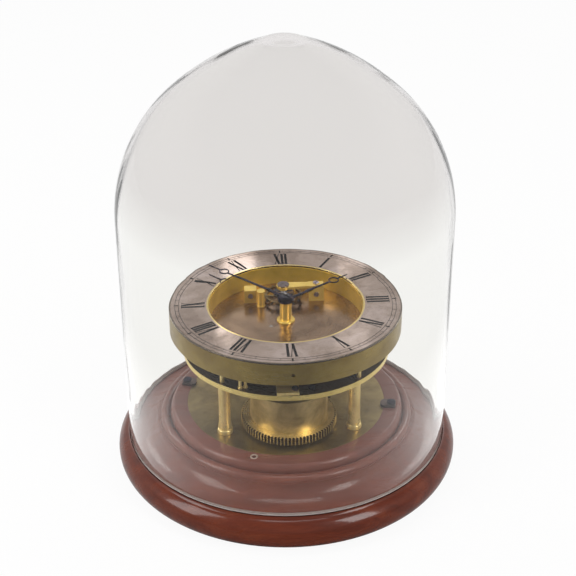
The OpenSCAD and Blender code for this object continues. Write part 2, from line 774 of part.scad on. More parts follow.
// The cock's screw comes from above, with a countersunk head level with the middle plate
module cock_screw() {
    color(blued) at(cock_foot) {
        rod(screw_r, mid_z - 5, mid_top_z - sunk_h);
        difference() {
            translate([0, 0, mid_top_z - sunk_h]) cylinder(r1 = screw_r, r2 = sunk_r, h = sunk_h, $fn = 24);
            translate([-sunk_r - 1, -0.3, mid_top_z - 0.5]) cube([2 * sunk_r + 2, 0.6, 1]);
        }
    }
}

module centre_arbor() {
    color(steel) {
        rod(pivot_r, cock_arm_z, cock_arm_z + cock_arm_t + end_gap);
        rod(arbor_r, cock_arm_z + cock_arm_t + end_gap, centre_wheel_z + wheel_t);
        rod(centre_top_r, centre_wheel_z + wheel_t, minute_hand_z + minute_boss_h + collet_h + 0.6);
        translate([0, 0, centre_pinion_z]) linear_extrude(centre_pinion_h)
            polygon(pinion_points(centre_pinion_n, inter_m, mesh_deg(inter_n, centre_pinion_n, bearing(INTER, CENTRE))));
        rod(2.6, mid_top_z + end_gap, centre_wheel_z);
    }
}

module centre_wheel() {
    color(bright_brass) translate([0, 0, centre_wheel_z])
        spoked_wheel(wheel_points(centre_n, centre_m), centre_m * (centre_n / 2 - 1.15), 2, 4, arbor_r, 4, 2, wheel_t);
}

module third_arbor() {
    color(steel) at(THIRD) {
        arbor_body(mid_top_z, top_z, plate_t, top_plate_t, arbor_r);
        translate([0, 0, third_pinion_z]) linear_extrude(wheel_t + 0.9)
            polygon(pinion_points(third_pinion_n, centre_m, mesh_deg(centre_n, third_pinion_n, bearing(CENTRE, THIRD))));
    }
}

module third_wheel() {
    color(bright_brass) at(THIRD, third_wheel_z)
        spoked_wheel(wheel_points(third_n, third_m), third_m * (third_n / 2 - 1.15), 1.8, 3.4, arbor_r, 4, 1.8, wheel_t);
}

module fourth_arbor() {
    color(steel) at(FOURTH) {
        arbor_body(mid_top_z, top_z, plate_t, top_plate_t, arbor_r - 0.4);
        translate([0, 0, fourth_pinion_z]) linear_extrude(wheel_t + 0.8)
            polygon(pinion_points(fourth_pinion_n, third_m, mesh_deg(third_n, fourth_pinion_n, bearing(THIRD, FOURTH))));
    }
}

module fourth_wheel() {
    color(bright_brass) at(FOURTH, fourth_wheel_z)
        spoked_wheel(wheel_points(fourth_n, fourth_m), fourth_m * (fourth_n / 2 - 1.15), 1.6, 3, arbor_r - 0.4, 4, 1.6, wheel_t);
}

module escape_arbor() {
    color(steel) at(ESCAPE) {
        arbor_body(mid_top_z, top_z, plate_t, top_plate_t, 0.9);
        translate([0, 0, escape_pinion_z]) linear_extrude(wheel_t + 0.6)
            polygon(pinion_points(escape_pinion_n, fourth_m, mesh_deg(fourth_n, escape_pinion_n, bearing(FOURTH, ESCAPE))));
    }
}

escape_r = 5.4;

// Fifteen pointed teeth that lean forwards, on a thin rim with four arms
module escape_wheel() {
    root = escape_r - 1.5;
    points = [for (i = [0:escape_n - 1], p = [[root, 0], [escape_r, 0.42], [escape_r, 0.56], [root + 0.2, 0.62]])
        polar(p[0], (i + p[1]) * 360 / escape_n)];
    color(bright_brass) at(ESCAPE, escape_wheel_z) spoked_wheel(points, root, 0.7, 1.8, 0.9, 4, 0.7, escape_t);
}

pallet_arm_deg = 38;
stone_gap = 0.5;

// The stones stand clear of the wheel's tips on both sides of the lever's swing
function stone_at(side) = ESCAPE + polar(escape_r + stone_gap + 0.5, lever_deg + side * pallet_arm_deg);

module pallet_lever() {
    fork = PALLET + polar(lever_reach, lever_deg);
    color(steel) {
        at(PALLET) arbor_body(mid_top_z, top_z, plate_t, top_plate_t, 0.8, pallet_pivot_r);
        for (s = [-1, 1]) hull() {
            at(PALLET, lever_z) cylinder(r = 1.3, h = lever_t, $fn = 24);
            at(stone_at(s) + polar(0.5, lever_deg + s * 80), lever_z) cylinder(r = 0.5, h = lever_t, $fn = 24);
        }
        difference() {
            hull() {
                at(PALLET, lever_z) cylinder(r = 1.1, h = lever_t, $fn = 24);
                at(fork, lever_z) cylinder(r = 0.8, h = lever_t, $fn = 24);
            }
            at(fork, lever_z - 1) rotate([0, 0, lever_deg]) translate([-0.6, -0.32, 0]) cube([2, 0.64, lever_t + 2]);
        }
    }
}

module pallet_stones() {
    color("firebrick") for (s = [-1, 1]) at(stone_at(s), lever_z + lever_t)
        rotate([0, 0, lever_deg + s * pallet_arm_deg]) translate([-0.45, -0.5, 0]) cube([1.2, 0.8, 0.3]);
}

module cannon_pinion() {
    color(steel) difference() {
        union() {
            rod(cannon_r, centre_wheel_z + wheel_t, minute_hand_z + minute_boss_h);
            translate([0, 0, cannon_pinion_z]) linear_extrude(cannon_pinion_h) polygon(pinion_points(cannon_n, minute_m));
        }
        rod(centre_top_r, centre_wheel_z + wheel_t - 1, minute_hand_z + minute_boss_h + 1);
    }
}

minute_stud_r = 0.8;
minute_tail_r = 1;

// The stud hangs from the top plate and its head holds the minute wheel up
module minute_stud() {
    color(steel) at(MINUTE) {
        rod(minute_tail_r, top_z, floor_z);
        rod(minute_stud_r, minute_wheel_z - end_gap, top_z);
        rod(1.5, minute_wheel_z - end_gap - 0.4, minute_wheel_z - end_gap);
    }
}

module minute_wheel() {
    color(bright_brass) at(MINUTE) difference() {
        union() {
            translate([0, 0, minute_wheel_z]) linear_extrude(motion_t)
                polygon(wheel_points(minute_n, minute_m, mesh_deg(cannon_n, minute_n, bearing(CENTRE, MINUTE))));
            translate([0, 0, minute_wheel_z + motion_t]) linear_extrude(hour_wheel_z + motion_t + 0.4 - minute_wheel_z - motion_t)
                polygon(pinion_points(minute_pinion_n, hour_m));
        }
        rod(minute_stud_r + run_gap, minute_wheel_z - 1, top_z);
    }
}

module hour_wheel() {
    color(bright_brass) difference() {
        union() {
            translate([0, 0, hour_wheel_z]) linear_extrude(motion_t)
                polygon(wheel_points(hour_n, hour_m, mesh_deg(minute_pinion_n, hour_n, bearing(MINUTE, CENTRE))));
            rod(hour_pipe_r, hour_wheel_z, hour_hand_z + hour_boss_h);
        }
        rod(cannon_r + run_gap, hour_wheel_z - 1, hour_hand_z + hour_boss_h + 1);
    }
}

// The fixed post under the hands: a turned foot and a tube round the hour pipe
module centre_post() {
    color("gold") difference() {
        union() {
            rod(post_r, floor_z, post_top_z);
            translate([0, 0, floor_z]) rotate_extrude($fn = 64) polygon(concat([[0, 0], [post_foot_r, 0]],
                arc([post_foot_r - 0.7, post_foot_h - 0.7], 0.7, 0.7, 0, 90, 5), [[0, post_foot_h]]));
        }
        rod(hour_pipe_r + run_gap, floor_z - 1, post_top_z + 1);
    }
}

// A slim tapering blade with a ring near its tip
module hand(len, ring_at, ring_r, ring_bar, root_w, tip_w, boss_r, boss_h, bore_r) {
    inner = ring_r - ring_bar;
    difference() {
        union() {
            linear_extrude(hand_t) difference() {
                union() {
                    polygon([[-root_w / 2, 0], [root_w / 2, 0], [tip_w, ring_at], [-tip_w, ring_at]]);
                    polygon([[-tip_w, ring_at], [tip_w, ring_at], [0.15, len], [-0.15, len]]);
                    translate([0, ring_at]) circle(r = ring_r, $fn = 48);
                }
                translate([0, ring_at]) circle(r = inner, $fn = 48);
            }
            cylinder(r = boss_r, h = boss_h, $fn = 64);
        }
        translate([0, 0, -1]) cylinder(r = bore_r, h = boss_h + 2, $fn = 48);
    }
}

module hour_hand() {
    color(blued) translate([0, 0, hour_hand_z]) rotate([0, 0, -hour_deg])
        hand(hour_len, hour_len * 0.77, 3.5, 0.7, 2.4, 0.5, hour_boss_r, hour_boss_h, hour_pipe_r);
}

module minute_hand() {
    color(blued) translate([0, 0, minute_hand_z]) rotate([0, 0, -minute_deg])
        hand(minute_len, minute_len * 0.787, 3.45, 0.7, 2.2, 0.45, minute_boss_r, minute_boss_h, cannon_r);
}

module hand_collet() {
    z = minute_hand_z + minute_boss_h;
    color(steel) difference() {
        translate([0, 0, z]) rotate_extrude($fn = 48) polygon(concat([[0, 0]],
            arc([0, 0], collet_r, collet_h, 0, 90, 6)));
        rod(centre_top_r, z - 1, z + collet_h + 1);
    }
}

// A cut rim with two arms, as a compensated balance has
module balance_wheel() {
    inner = balance_r - balance_rim_w;
    color("gold") at(BALANCE, balance_z) difference() {
        union() {
            difference() {
                disc(balance_r, balance_rim_h);
                disc(inner, balance_rim_h + 2, -1);
                for (s = [0, 180]) rotate([0, 0, s + 14]) translate([inner - 1, -0.3, -1])
                    cube([balance_rim_w + 2, 0.6, balance_rim_h + 2]);
            }
            translate([-inner - 0.5, -0.9, 0]) cube([2 * inner + 1, 1.8, 1.1]);
            disc(2.4, 1.1);
        }
        disc(staff_r, balance_rim_h + 2, -1);
    }
}

module timing_screws() {
    color(bright_brass) at(BALANCE, balance_z + balance_rim_h / 2)
        for (s = [0, 180], a = [2, 30, 52, 74, 96, 118, 140]) rotate([0, 0, s + a]) translate([balance_r, 0, 0])
            rotate([0, 90, 0]) cylinder(r = 0.75, h = 1, $fn = 24);
}

module balance_staff() {
    color(steel) at(BALANCE) {
        rod(balance_pivot_r, mid_z + pivot_in, mid_top_z + end_gap);
        rod(0.7, mid_top_z + end_gap, roller_z);
        rod(roller_r, roller_z, roller_z + roller_t);
        rod(staff_r, roller_z + roller_t, balance_z + balance_rim_h);
        rod(spring_in_r - spring_w / 2, hairspring_z, hairspring_z + spring_h);
        rod(0.6, balance_z + balance_rim_h, cock_z - end_gap);
        rod(balance_pivot_r, cock_z - end_gap, cock_z + cock_t - pivot_in);
        rotate([0, 0, lever_deg + 180]) translate([2, 0, 0]) rod(impulse_pin_r, roller_z - 0.3, roller_z);
    }
}

module hairspring() {
    color("darkslategray") at(BALANCE, hairspring_z) linear_extrude(spring_h)
        polygon(spiral_points(spring_in_r, spring_out_r, spring_turns, spring_w, 20));
}

BLOCKS = [[-cock_block_x + 0.2, balance_y + 0.3], [cock_block_x, balance_y + 0.6]];
BLOCK_H = [9.2, cock_z - floor_z];
BLOCK_W = [8, block_w];
block_screw_r = 1;
block_hole_l = 5;
block_head_r = 1.7;
face_screw_r = 0.8;
face_screw_l = 2.5;
top_screw_l = 2.5;
top_head_r = 2;
block_head_h = 1.2;

// Two blocks on the floor of the dial well, the right one under the balance cock
module cock_blocks() {
    color(bright_brass) for (i = [0, 1]) at(BLOCKS[i], floor_z) difference() {
        translate([-BLOCK_W[i] / 2, -block_d / 2, 0]) cube([BLOCK_W[i], block_d, BLOCK_H[i]]);
        translate([0, 0, -1]) cylinder(r = block_screw_r, h = block_hole_l, $fn = 24);
        translate([0, -block_d / 2 - 1, BLOCK_H[i] * 0.6]) rotate([-90, 0, 0])
            cylinder(r = face_screw_r, h = face_screw_l + 1.5, $fn = 24);
        if (i == 1) translate([0, 0, BLOCK_H[i] - top_screw_l - 0.5])
            cylinder(r = block_screw_r, h = top_screw_l + 1.5, $fn = 24);
    }
}

module block_screws() {
    color(blued) {
        for (i = [0, 1]) {
            at(BLOCKS[i]) rod(block_screw_r, top_z, floor_z + block_hole_l - 1.5);
            at(BLOCKS[i], top_z) rotate([180, 0, 0]) slotted_head(block_head_r, block_head_h - 0.2, 25);
            at(BLOCKS[i]) translate([0, -block_d / 2, floor_z + BLOCK_H[i] * 0.6]) rotate([90, 0, 0]) {
                slotted_head(block_head_r, block_head_h, 65);
                translate([0, 0, -face_screw_l]) rod(face_screw_r, 0, face_screw_l);
            }
        }
        at(BLOCKS[1]) {
            rod(block_screw_r, cock_z - top_screw_l, cock_z + cock_t);
            translate([0, 0, cock_z + cock_t]) slotted_head(top_head_r, block_head_h, 40);
        }
    }
}

// The arm from the right block that tapers to a round end over the balance
module balance_cock() {
    block = BLOCKS[1];
    color("gold") difference() {
        union() {
            translate([block[0] - block_w / 2, block[1] - block_d / 2, cock_z]) cube([block_w, block_d, cock_t]);
            hull() {
                translate([block[0] - block_w / 2, block[1] - 2.6, cock_z]) cube([1, 5.2, cock_t]);
                at(BALANCE, cock_z) cylinder(r = cap_r, h = cock_t, $fn = 32);
            }
            at(BALANCE, cock_z) cylinder(r = cap_r + 0.6, h = cock_t, $fn = 64);
            at(HAIR_STUD, cock_z) cylinder(r = 1.2, h = cock_t, $fn = 32);
            at(HAIR_STUD, hairspring_z) cylinder(r = hair_stud_r, h = cock_z - hairspring_z, $fn = 24);
        }
        pivot_hole(BALANCE, cock_z, cock_t, balance_pivot_r);
        at(block, cock_z - 1) cylinder(r = block_screw_r, h = cock_t + 2, $fn = 24);
    }
}

hair_stud_r = 0.5;
HAIR_STUD = BALANCE + [spring_out_r + spring_w / 2 + hair_stud_r, 0];

module cock_cap() {
    z = cock_z + cock_t;
    color("silver") at(BALANCE, z) {
        difference() {
            disc(cap_r, 0.8);
            translate([0, 0, -1]) cylinder(r = 0.35, h = 3, $fn = 24);
        }
        for (s = [-1, 1]) translate([s * 1.6, -1.2, 0.8]) slotted_head(0.7, 0.4, s * 30);
    }
}

SIDE_POST = [-15.2, balance_y - 6.8];

module side_post() {
    color(bright_brass) at(SIDE_POST) {
        rod(2.5, floor_z, floor_z + 11);
        rod(2.9, floor_z, floor_z + 0.8);
    }
}

wood_base();
base_pad();
glass_dome();
base_plate();
hold_down_dogs();
dog_screws();
lower_pillars();
pillar_screws();
middle_plate();
upper_pillars();
top_plate();
top_plate_screws();
drum_wall();
well_wall_ring();
dial_ring();
front_bar();
middle_plate_screws();
stay_studs();
great_wheel();
barrel();
barrel_cover();
mainspring();
barrel_arbor();
ratchet_wheel();
click();
click_screw();
click_spring();
intermediate_arbor();
intermediate_wheel();
centre_cock();
cock_screw();
centre_arbor();
centre_wheel();
third_arbor();
third_wheel();
fourth_arbor();
fourth_wheel();
escape_arbor();
escape_wheel();
pallet_lever();
pallet_stones();
cannon_pinion();
minute_stud();
minute_wheel();
hour_wheel();
centre_post();
hour_hand();
minute_hand();
hand_collet();
balance_wheel();
timing_screws();
balance_staff();
hairspring();
balance_cock();
cock_cap();
cock_blocks();
block_screws();
side_post();
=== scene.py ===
"""Dresses the table clock: turned base, glass dome, brass movement and silvered dial."""

import json
import math

import bmesh
import bpy
from mathutils import Matrix, Vector

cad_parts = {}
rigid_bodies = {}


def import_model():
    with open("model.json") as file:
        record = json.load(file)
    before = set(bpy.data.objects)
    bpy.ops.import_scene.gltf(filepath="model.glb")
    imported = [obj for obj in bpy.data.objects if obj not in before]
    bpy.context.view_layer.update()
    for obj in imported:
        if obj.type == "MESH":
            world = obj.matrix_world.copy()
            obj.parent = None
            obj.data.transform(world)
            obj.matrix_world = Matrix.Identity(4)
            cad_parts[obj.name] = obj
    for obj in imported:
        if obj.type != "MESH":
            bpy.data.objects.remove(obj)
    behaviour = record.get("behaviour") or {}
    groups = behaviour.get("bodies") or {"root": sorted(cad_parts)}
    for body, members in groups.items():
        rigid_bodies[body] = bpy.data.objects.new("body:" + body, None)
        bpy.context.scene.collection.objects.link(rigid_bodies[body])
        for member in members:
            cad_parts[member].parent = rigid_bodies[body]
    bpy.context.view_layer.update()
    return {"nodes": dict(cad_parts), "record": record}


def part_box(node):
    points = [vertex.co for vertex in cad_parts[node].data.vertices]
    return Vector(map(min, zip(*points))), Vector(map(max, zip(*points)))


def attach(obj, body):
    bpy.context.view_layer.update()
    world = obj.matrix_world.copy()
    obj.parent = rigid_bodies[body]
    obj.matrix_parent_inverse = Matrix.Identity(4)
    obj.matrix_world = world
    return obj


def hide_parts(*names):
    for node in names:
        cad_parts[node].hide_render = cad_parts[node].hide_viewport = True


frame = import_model()

MM = 0.001
nodes = frame["nodes"]
body_of_node = {node: body for body, group in frame["record"]["behaviour"]["bodies"].items()
                for node in group}
slot_of_node = {part["node"]: part["material_slot"] for part in frame["record"]["subparts"]}


# Camera, as fitted to the ellipses of the dial, the plates and the glass in the photograph

PICTURE_SIDE = 576
SENSOR_MM = 36
FOCAL_MM = 81.554
CAMERA_AT = (-0.042258, -0.73288, 0.52316)
CAMERA_AXES = Matrix(((0.998061, 0.033422, -0.052501), (-0.062084, 0.475615, -0.87746),
                      (-0.004356, 0.879018, 0.476768)))

camera = bpy.data.objects.new("camera", bpy.data.cameras.new("camera"))
camera.data.sensor_width = SENSOR_MM
camera.data.lens = FOCAL_MM
camera.matrix_world = Matrix.Translation(CAMERA_AT) @ CAMERA_AXES.to_4x4()
bpy.context.scene.collection.objects.link(camera)
bpy.context.scene.camera = camera
bpy.context.scene.view_settings.view_transform = "Standard"


# Helpers for materials

def add(tree, kind, inputs=None, **settings):
    """A shader node with its settings made and its inputs set or linked"""
    made = tree.nodes.new("ShaderNode" + kind)
    for key, value in settings.items():
        setattr(made, key, value)
    for key, value in (inputs or {}).items():
        feed(tree, made.inputs[key], value)
    return made


def feed(tree, socket, value):
    """Links an input to an output, or sets its value, where a colour gets its fourth number"""
    if isinstance(value, bpy.types.NodeSocket):
        tree.links.new(value, socket)
    elif hasattr(value, "__len__") and len(value) == 3 and len(socket.default_value) == 4:
        socket.default_value = (*value, 1)
    else:
        socket.default_value = value


def material(name, **values):
    """A new material with its tree and its shader, whose inputs get the values"""
    made = bpy.data.materials.new(name)
    made.use_nodes = True
    tree = made.node_tree
    shader = tree.nodes["Principled BSDF"]
    for key, value in values.items():
        feed(tree, shader.inputs[key.replace("_", " ")], value)
    return made, tree, shader


def calc(tree, operation, *values, **settings):
    return add(tree, "Math", dict(enumerate(values)), operation=operation, **settings).outputs[0]


def part_of(tree, vector, index):
    return add(tree, "SeparateXYZ", {0: vector}).outputs[index]


def length_of(tree, vector):
    return add(tree, "VectorMath", {0: vector}, operation="LENGTH").outputs["Value"]


def space(tree, scale=(1, 1, 1), centre=(0, 0, 0)):
    """Object coordinates in metres, moved so that centre is zero, then scaled"""
    source = add(tree, "TexCoord").outputs["Object"]
    moved = add(tree, "VectorMath", {0: source, 1: centre}, operation="SUBTRACT")
    return add(tree, "Mapping", {"Vector": moved.outputs["Vector"], "Scale": scale}).outputs["Vector"]


def ring_space(tree, scale=(1, 1, 1), centre=(0, 0, 0)):
    """Radius and height round an upright axis, the way that marks from a lathe run"""
    parts = add(tree, "SeparateXYZ", {0: space(tree, centre=centre)})
    flat = add(tree, "CombineXYZ", {0: parts.outputs[0], 1: parts.outputs[1]})
    joined = add(tree, "CombineXYZ", {0: length_of(tree, flat.outputs[0]), 2: parts.outputs[2]})
    return add(tree, "Mapping", {"Vector": joined.outputs[0], "Scale": scale}).outputs["Vector"]


def radius_at(tree, centre=(0, 0, 0)):
    return part_of(tree, ring_space(tree, centre=centre), 0)


def cloud(tree, vector, scale, detail=4.0, roughness=0.55, distortion=0.0):
    return add(tree, "TexNoise", {"Vector": vector, "Scale": scale, "Detail": detail,
                                  "Roughness": roughness, "Distortion": distortion}).outputs["Fac"]


def grey(level):
    return level, level, level


def ramp(tree, value, *stops):
    """Colours for a value, each stop being a place and its colour"""
    made = add(tree, "ValToRGB", {"Fac": value})
    points = made.color_ramp.elements
    while len(points) < len(stops):
        points.new(0.5)
    for point, (place, colour) in zip(points, stops):
        point.position = place
        point.color = (*colour, 1)
    return made.outputs["Color"]


def mix(tree, share, first, second, blend="MIX"):
    """Two colours mixed; the inputs 0, 6 and 7 are the share and the two colours"""
    made = add(tree, "Mix", data_type="RGBA", blend_type=blend)
    for place, value in ((0, share), (6, first), (7, second)):
        feed(tree, made.inputs[place], value)
    return made.outputs[2]


def mix_shaders(tree, share, first, second):
    return add(tree, "MixShader", {0: share, 1: first, 2: second}).outputs[0]


def show(tree, surface):
    tree.links.new(surface, tree.nodes["Material Output"].inputs["Surface"])


def span(tree, value, low, high, to_low, to_high):
    """A value's range from low to high, stretched to another and clamped to it"""
    return add(tree, "MapRange", {"Value": value, "From Min": low, "From Max": high,
                                  "To Min": to_low, "To Max": to_high}).outputs["Result"]


def relief(tree, height, distance, under=None):
    """Small bumps, distance metres high, on top of the bumps that under gives"""
    made = add(tree, "Bump", {"Height": height, "Distance": distance, "Strength": 1.0})
    if under is not None:
        feed(tree, made.inputs["Normal"], under)
    return made.outputs["Normal"]


# Materials: colours are linear, radii and heights are in metres

WOOD_UNDER_GLASS = (0.07, 0.11)
WOOD_POLISH_STEP = (0.099, 0.104)
DIAL_RIM_DARK = (0.0739, 0.0742)
DIAL_LIP_BRIGHT = (0.0512, 0.0509)
GLASS_CROWN_SHADE = (0.06, 0.24)
GLASS_GROUND_EDGE = (0.0255, 0.0260)


def mahogany():
    """Polished red-brown wood, its grain along the board that the base was turned from; under the
    glass it is less polished, and its top is painted paler: a painted sheen for the dome's haze and
    highlights"""
    made, tree, shader = material("polished_mahogany", Coat_Roughness=0.1, Specular_IOR_Level=0.15)
    figure = cloud(tree, space(tree, (7, 60, 60)), 1.6, 5, 0.6, 0.6)
    tone = ramp(tree, figure, (0.28, (0.088, 0.017, 0.008)), (0.5, (0.136, 0.026, 0.011)),
                (0.75, (0.190, 0.044, 0.019)))
    radius = radius_at(tree)
    outward = span(tree, radius, *WOOD_UNDER_GLASS, 0, 1)
    # Painted sheen: the top under the glass is painted paler for the haze and highlights seen through
    # the dome
    glass_haze_paint = ramp(tree, outward, (0.0, grey(0.34)), (0.78, grey(0.18)), (0.84, grey(0.0)))
    tone = mix(tree, glass_haze_paint, tone, (0.36, 0.18, 0.15))
    feed(tree, shader.inputs["Coat Weight"], span(tree, radius, *WOOD_POLISH_STEP, 0.35, 0.55))
    streaks = cloud(tree, space(tree, (60, 900, 900)), 1.5, 3)
    dark = span(tree, streaks, 0.35, 0.65, 0.84, 1.03)
    feed(tree, shader.inputs["Base Color"], mix(tree, 1.0, tone, dark, "MULTIPLY"))
    feed(tree, shader.inputs["Roughness"], span(tree, figure, 0.3, 0.7, 0.34, 0.24))
    pores = relief(tree, streaks, 0.00002)
    sag = relief(tree, cloud(tree, space(tree), 90, 3), 0.00035, pores)
    feed(tree, shader.inputs["Normal"], sag)
    return made


def brass(name, bright, dull, shine, patches, brushed=None, centre=(0, 0, 0), metal=1.0,
          face_shade=None, gullet_shade=None):
    """Brass with cloudy tarnish. shine gives the least and the greatest roughness, brushed the scale
    of its lathe or grain marks as radius, turn and height, and face the colour of a painted shade
    on flat tops and undersides, which darkens them against the edge. gullet gives the radii
    between which the sides of teeth get a painted shade towards their roots"""
    made, tree, shader = material(name, Metallic=metal)
    patch = cloud(tree, space(tree), patches, 6, 0.62, 0.4)
    spots = cloud(tree, space(tree), patches * 6, 4, 0.6)
    tone = ramp(tree, patch, (0.32, dull), (0.62, bright))
    tone = mix(tree, span(tree, spots, 0.56, 0.75, 0, 0.55), tone, dull)
    if face_shade or gullet_shade:
        flat = calc(tree, "ABSOLUTE", part_of(tree, add(tree, "NewGeometry").outputs["True Normal"], 2))
    # Painted shade: flat tops and undersides get a dark colour by the way they face
    if face_shade:
        tone = mix(tree, span(tree, flat, 0.8, 0.95, 0, 1), tone, face_shade)
    if gullet_shade:
        # Painted shade in the gaps: the sides of the teeth darken towards their roots
        depth = span(tree, radius_at(tree, centre), *gullet_shade, 1, 0)
        root = mix(tree, span(tree, flat, 0.5, 0.8, 0, 1), depth, grey(0))
        tone = mix(tree, root, tone, (0.11, 0.07, 0.03))
    feed(tree, shader.inputs["Base Color"], tone)
    rough = span(tree, patch, 0.3, 0.7, shine[1], shine[0])
    if brushed:
        lines = cloud(tree, ring_space(tree, brushed, centre), 1.0, 4, 0.7)
        rough = calc(tree, "ADD", rough, span(tree, lines, 0.3, 0.7, -0.05, 0.05))
        feed(tree, shader.inputs["Normal"], relief(tree, lines, 0.000005))
    feed(tree, shader.inputs["Roughness"], rough)
    return made


def silvering():
    """The dial's rubbed silvering: pinkish grey and stained, with a dark rim and a bare brass lip"""
    made, tree, shader = material("dial_silvering", Metallic=1.0)
    patch = cloud(tree, space(tree), 38, 6, 0.6, 0.5)
    tone = ramp(tree, patch, (0.30, (0.32, 0.24, 0.20)), (0.5, (0.53, 0.425, 0.375)),
                (0.72, (0.70, 0.59, 0.565)))
    spots = cloud(tree, space(tree), 230, 5, 0.6)
    tone = mix(tree, span(tree, spots, 0.55, 0.78, 0, 0.5), tone, (0.24, 0.18, 0.16))
    radius = radius_at(tree)
    tone = mix(tree, span(tree, radius, *DIAL_RIM_DARK, 0, 0.75), tone, (0.10, 0.08, 0.05))
    tone = mix(tree, span(tree, radius, *DIAL_LIP_BRIGHT, 0, 1), tone, (0.86, 0.68, 0.30))
    feed(tree, shader.inputs["Base Color"], tone)
    grain = cloud(tree, ring_space(tree, (9000, 1, 1)), 1.0, 3, 0.7)
    feed(tree, shader.inputs["Roughness"], span(tree, patch, 0.3, 0.7, 0.09, 0.045))
    feed(tree, shader.inputs["Normal"], relief(tree, grain, 0.0000015))
    return made


def steel(name, bright, dull, shine):
    """Steel with faint clouds of a duller colour; shine is the least and the greatest roughness"""
    made, tree, shader = material(name, Metallic=1.0)
    patch = cloud(tree, space(tree), 160, 5, 0.6)
    feed(tree, shader.inputs["Base Color"], ramp(tree, patch, (0.35, dull), (0.65, bright)))
    feed(tree, shader.inputs["Roughness"], span(tree, patch, 0.3, 0.7, shine[1], shine[0]))
    return made


def wax():
    made, tree, shader = material("black_wax", Roughness=0.6, Specular_IOR_Level=0.15)
    crumbs = cloud(tree, space(tree), 900, 4)
    tone = ramp(tree, crumbs, (0.4, (0.004, 0.004, 0.005)), (0.75, (0.014, 0.011, 0.011)))
    feed(tree, shader.inputs["Base Color"], tone)
    feed(tree, shader.inputs["Normal"], relief(tree, crumbs, 0.00002))
    return made


def baize():
    made, tree, shader = material("green_baize", Roughness=0.95, Sheen_Weight=0.3)
    nap = cloud(tree, space(tree), 1600, 5, 0.7)
    tone = ramp(tree, nap, (0.3, (0.008, 0.045, 0.018)), (0.7, (0.03, 0.11, 0.05)))
    feed(tree, shader.inputs["Base Color"], tone)
    feed(tree, shader.inputs["Normal"], relief(tree, nap, 0.0002))
    return made


def ruby():
    made, tree, shader = material("ruby", Roughness=0.08)
    depth = cloud(tree, space(tree), 700, 3)
    tone = ramp(tree, depth, (0.3, (0.25, 0.01, 0.03)), (0.7, (0.5, 0.03, 0.07)))
    feed(tree, shader.inputs["Base Color"], tone)
    return made


def clear_glass():
    """Blown glass, clear at the sides, grey at the crown as a painted shade for the darker backdrop
    seen through it, with a ground edge at its foot.
    Shadow light, and light that leaves what it covers, goes straight through, with no sharp pattern"""
    made, tree, shader = material("blown_glass", Roughness=0.0, IOR=1.36, Transmission_Weight=1.0)
    height = part_of(tree, space(tree), 2)
    # Painted shade: the crown is tinted grey for the darker backdrop seen through it
    crown_shade = ramp(tree, span(tree, height, *GLASS_CROWN_SHADE, 0, 1), (0.0, (0.975, 0.972, 0.955)),
                 (0.68, (0.980, 0.978, 0.965)), (0.86, (0.805, 0.782, 0.778)))
    feed(tree, shader.inputs["Base Color"], crown_shade)
    waves = cloud(tree, space(tree, (1, 1, 0.35)), 22, 2)
    feed(tree, shader.inputs["Normal"], relief(tree, waves, 0.0006))
    path = add(tree, "LightPath").outputs
    from_inside = calc(tree, "SUBTRACT", 1.0, add(tree, "NewGeometry").outputs["Backfacing"])
    passing = calc(tree, "MAXIMUM", from_inside, path["Transparent Depth"])
    sent_on = calc(tree, "MAXIMUM", path["Is Glossy Ray"], path["Is Diffuse Ray"])
    leaving = calc(tree, "MULTIPLY", passing, sent_on, use_clamp=True)
    straight = calc(tree, "MAXIMUM", leaving, path["Is Shadow Ray"])
    through = add(tree, "BsdfTransparent", {"Color": (0.97, 0.97, 0.96)}).outputs[0]
    glass = mix_shaders(tree, straight, shader.outputs[0], through)
    ground = add(tree, "BsdfDiffuse", {"Color": (0.72, 0.64, 0.61)}).outputs[0]
    show(tree, mix_shaders(tree, span(tree, height, *GLASS_GROUND_EDGE, 0.9, 0), glass, ground))
    return made


BARREL_CENTRE = (0, -0.028, 0)
FINISH = {
    "mahogany": mahogany(),
    "green_cloth": baize(),
    "clear_glass": clear_glass(),
    "aged_brass": brass("aged_brass", (0.40, 0.30, 0.125), (0.20, 0.145, 0.060), (0.30, 0.46), 50,
                        (3000, 1, 3000), metal=0.9),
    "bright_brass": brass("bright_brass", (1.0, 0.78, 0.33), (0.78, 0.57, 0.22), (0.24, 0.38), 60,
                          (2500, 1, 2500), metal=0.65),
    "silvered_brass": silvering(),
    "steel": steel("polished_steel", (0.56, 0.56, 0.57), (0.34, 0.33, 0.33), (0.16, 0.34)),
    "spring_steel": steel("spring_steel", (0.20, 0.22, 0.28), (0.10, 0.11, 0.15), (0.2, 0.34)),
    "blued_steel": steel("blued_steel", (0.045, 0.036, 0.075), (0.020, 0.016, 0.030), (0.16, 0.30)),
    "ruby": ruby(),
}
WAX = wax()
PALE_HOLE_LIP = brass("pale_hole_lip", (0.62, 0.50, 0.42), (0.42, 0.30, 0.24), (0.3, 0.5), 900, metal=0.3)
GOLDEN = brass("golden_lacquered_brass", (0.95, 0.68, 0.16), (0.62, 0.41, 0.07), (0.14, 0.26), 40,
               (1500, 1, 4000), metal=0.6)
DARK_STEEL = steel("dark_steel", (0.075, 0.072, 0.085), (0.035, 0.032, 0.038), (0.14, 0.28))
BARREL_BRASS = brass("barrel_brass", (0.72, 0.56, 0.26), (0.38, 0.285, 0.125), (0.34, 0.48), 70,
                     (2500, 1, 3500), BARREL_CENTRE, 0.85)
